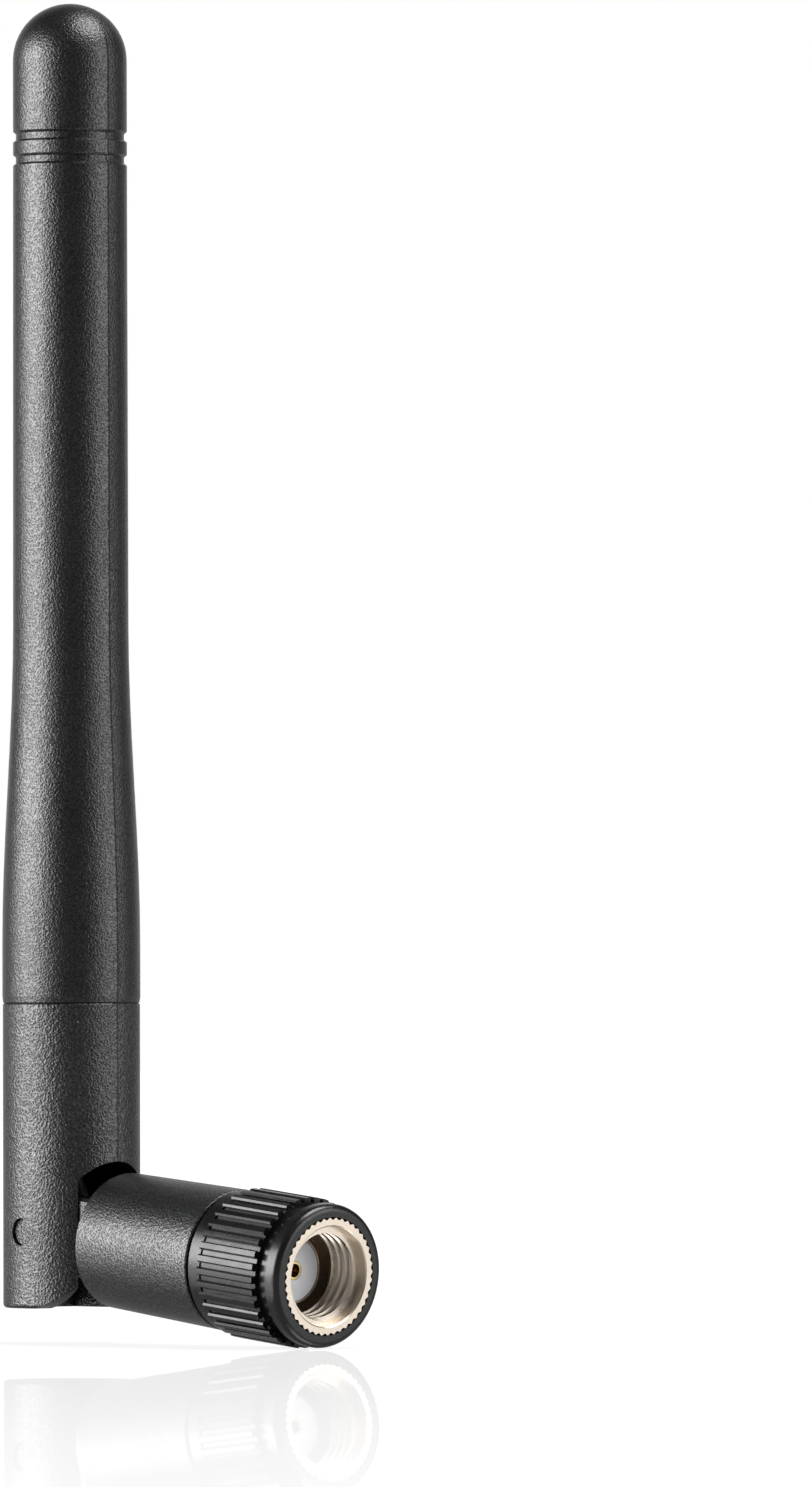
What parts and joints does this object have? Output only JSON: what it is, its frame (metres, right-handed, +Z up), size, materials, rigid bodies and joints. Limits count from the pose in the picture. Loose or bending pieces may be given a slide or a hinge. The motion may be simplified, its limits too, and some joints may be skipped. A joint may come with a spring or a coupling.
{
  "type": "omnidirectional antenna",
  "caption": "Short flared whip antenna on a hinge that tilts and swivels, with a ribbed grip around an internally threaded coaxial coupling nut.",
  "frame": {"origin": "on the connector's axis, at the outer end of the coupling nut's thread", "axes": "+Z up the whip as folded; the connector's mouth points along +X and 6.2 degrees below it; the hinge pins lie along Y"},
  "size_m": [0.0314, 0.0104, 0.093],
  "materials": {
    "whip_plastic": "spark-eroded satin black, moulded",
    "hinge_plastic": "spark-eroded matt black, moulded",
    "grip_plastic": "semi-gloss black, moulded",
    "nickel_plate": "bright nickel over turned brass",
    "gold_plate": "thin gold over turned brass",
    "ptfe": "turned, waxy white",
    "spring_steel": "bright spring wire",
    "brass": "drawn tube",
    "solder": "dull solder",
    "cable_jacket": "extruded, black",
    "tinned_braid": "tinned copper braid",
    "silvered_wire": "silver-plated copper wire",
    "heat_shrink": "shrunk tube, black",
    "foam": "soft closed-cell foam"
  },
  "bodies": {
    "nut_assembly": {"coupling_nut": "nickel_plate", "grip_sleeve": "grip_plastic"},
    "knuckle": {"barrel": "hinge_plastic", "pivot_pin_left": "hinge_plastic", "pivot_pin_right": "hinge_plastic", "connector_body": "nickel_plate", "contact_insulator": "ptfe", "center_contact": "gold_plate", "retaining_ring": "spring_steel", "crimp_sleeve": "nickel_plate", "crimp_shrink": "heat_shrink", "lower_coax_jacket": "cable_jacket", "lower_coax_dielectric": "ptfe", "lower_conductor": "silvered_wire", "coax_bend": "cable_jacket"},
    "whip": {"radome": "whip_plastic", "hinge_housing": "hinge_plastic", "coax_jacket": "cable_jacket", "coax_braid": "tinned_braid", "coax_dielectric": "ptfe", "radiator_wire": "silvered_wire", "choke_sleeve": "brass", "solder_fillet": "solder", "radiator_shrink": "heat_shrink", "lower_bush": "foam", "upper_bush": "foam"}
  },
  "joints": [
    {"name": "swivel", "type": "hinge", "parent": "nut_assembly", "child": "knuckle", "pos_m": [0, 0, 0], "axis": [0.9942, 0, -0.108], "continuous": true},
    {"name": "tilt", "type": "hinge", "parent": "knuckle", "child": "whip", "pos_m": [-0.02545, 0, 0.00276], "axis": [0, 1, 0], "range_deg": [-83.8, 6.2], "deforming": ["coax_bend"]}
  ]
}
